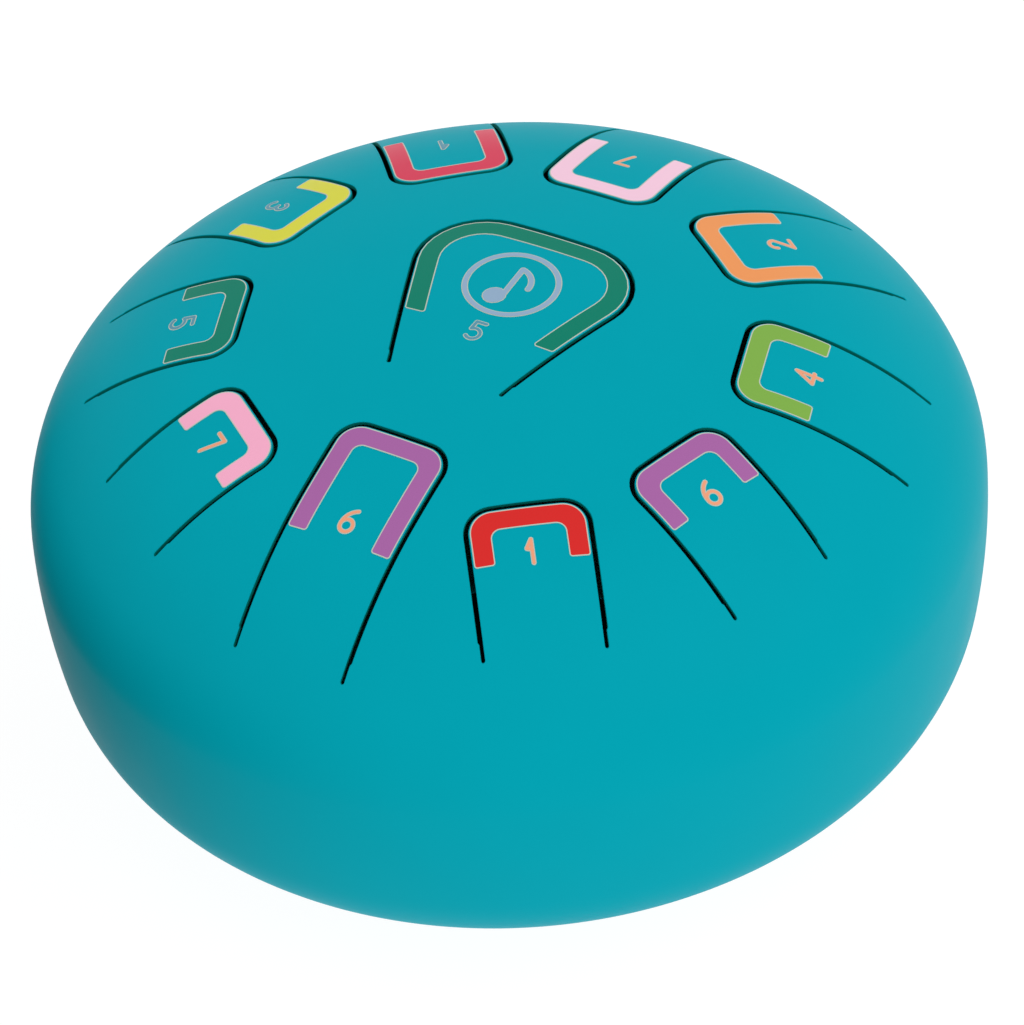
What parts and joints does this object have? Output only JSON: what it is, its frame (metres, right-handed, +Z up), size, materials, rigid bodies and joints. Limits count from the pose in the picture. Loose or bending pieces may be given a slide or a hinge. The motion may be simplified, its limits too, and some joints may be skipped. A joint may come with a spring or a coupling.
{
  "type": "steel tongue drum",
  "caption": "Round pressed-steel tongue drum on rubber feet, with tuned tongues cut in the dome, coloured bands and numbers, and a sound hole underneath.",
  "frame": {"origin": "on the floor under the drum's axis, in the plane of the feet's treads", "axes": "+Z up along the drum's axis; -Y towards tongue 1; +X to its right as seen from there"},
  "size_m": [0.305, 0.305, 0.1658],
  "materials": {
    "shell": "satin powder coat",
    "rubber": "moulded",
    "weld": "as welded",
    "vinyl_red": "satin vinyl",
    "vinyl_crimson": "satin vinyl",
    "vinyl_purple": "satin vinyl",
    "vinyl_lime": "satin vinyl",
    "vinyl_orange": "satin vinyl",
    "vinyl_pink": "satin vinyl",
    "vinyl_pale_pink": "satin vinyl",
    "vinyl_yellow": "satin vinyl",
    "vinyl_green": "satin vinyl",
    "print_salmon": "printed vinyl",
    "print_lilac": "printed vinyl"
  },
  "bodies": {
    "shell": {"top_shell": "shell", "bottom_shell": "shell", "rim_weld": "weld", "foot_front_left": "rubber", "foot_front_right": "rubber", "foot_back_right": "rubber", "foot_back_left": "rubber"},
    "tongue_1": {"tongue_1": "shell", "band_1": "vinyl_red", "number_1": "print_salmon"},
    "tongue_6": {"tongue_6": "shell", "band_6": "vinyl_purple", "number_6": "print_salmon"},
    "tongue_4": {"tongue_4": "shell", "band_4": "vinyl_lime", "number_4": "print_salmon"},
    "tongue_2": {"tongue_2": "shell", "band_2": "vinyl_orange", "number_2": "print_salmon"},
    "tongue_7": {"tongue_7": "shell", "band_7": "vinyl_pale_pink", "number_7": "print_salmon"},
    "tongue_high_1": {"tongue_high_1": "shell", "band_high_1": "vinyl_crimson", "number_high_1": "print_lilac"},
    "tongue_3": {"tongue_3": "shell", "band_3": "vinyl_yellow", "number_3": "print_lilac"},
    "tongue_5": {"tongue_5": "shell", "band_5": "vinyl_green", "number_5": "print_lilac"},
    "tongue_low_7": {"tongue_low_7": "shell", "band_low_7": "vinyl_pink", "number_low_7": "print_salmon"},
    "tongue_low_6": {"tongue_low_6": "shell", "band_low_6": "vinyl_purple", "number_low_6": "print_salmon"},
    "tongue_low_5": {"tongue_low_5": "shell", "band_low_5": "vinyl_green", "number_low_5": "print_lilac", "emblem": "print_lilac"}
  },
  "joints": [
    {"name": "tongue_1_flex", "type": "hinge", "parent": "shell", "child": "tongue_1", "pos_m": [0, -0.1256, 0.13306], "axis": [-1, 0, 0], "range_deg": [-1, 1], "stiffness_Nm_per_rad": 132},
    {"name": "tongue_6_flex", "type": "hinge", "parent": "shell", "child": "tongue_6", "pos_m": [0.07563, -0.10525, 0.12974], "axis": [-0.8121, -0.5835, 0], "range_deg": [-1, 1], "stiffness_Nm_per_rad": 116},
    {"name": "tongue_4_flex", "type": "hinge", "parent": "shell", "child": "tongue_4", "pos_m": [0.12717, -0.04255, 0.1256], "axis": [-0.3173, -0.9483, 0], "range_deg": [-1, 1], "stiffness_Nm_per_rad": 103},
    {"name": "tongue_2_flex", "type": "hinge", "parent": "shell", "child": "tongue_2", "pos_m": [0.12574, 0.04305, 0.12676], "axis": [0.3239, -0.9461, 0], "range_deg": [-1, 1], "stiffness_Nm_per_rad": 99},
    {"name": "tongue_7_flex", "type": "hinge", "parent": "shell", "child": "tongue_7", "pos_m": [0.07083, 0.11032, 0.12842], "axis": [0.8415, -0.5402, 0], "range_deg": [-1, 1], "stiffness_Nm_per_rad": 94},
    {"name": "tongue_high_1_flex", "type": "hinge", "parent": "shell", "child": "tongue_high_1", "pos_m": [-0.00843, 0.13033, 0.12887], "axis": [0.9979, 0.0645, 0], "range_deg": [-1, 1], "stiffness_Nm_per_rad": 105},
    {"name": "tongue_3_flex", "type": "hinge", "parent": "shell", "child": "tongue_3", "pos_m": [-0.08286, 0.10759, 0.12391], "axis": [0.7923, 0.6101, 0], "range_deg": [-1, 1], "stiffness_Nm_per_rad": 102},
    {"name": "tongue_5_flex", "type": "hinge", "parent": "shell", "child": "tongue_5", "pos_m": [-0.12476, 0.03862, 0.12887], "axis": [0.2957, 0.9553, 0], "range_deg": [-1, 1], "stiffness_Nm_per_rad": 117},
    {"name": "tongue_low_7_flex", "type": "hinge", "parent": "shell", "child": "tongue_low_7", "pos_m": [-0.12091, -0.03952, 0.13177], "axis": [-0.3107, 0.9505, 0], "range_deg": [-1, 1], "stiffness_Nm_per_rad": 128},
    {"name": "tongue_low_6_flex", "type": "hinge", "parent": "shell", "child": "tongue_low_6", "pos_m": [-0.07846, -0.10838, 0.1259], "axis": [-0.81, 0.5864, 0], "range_deg": [-1, 1], "stiffness_Nm_per_rad": 79},
    {"name": "tongue_low_5_flex", "type": "hinge", "parent": "shell", "child": "tongue_low_5", "pos_m": [-0.01857, -0.02752, 0.16317], "axis": [-0.829, 0.5592, 0], "range_deg": [-1, 1], "stiffness_Nm_per_rad": 148}
  ]
}
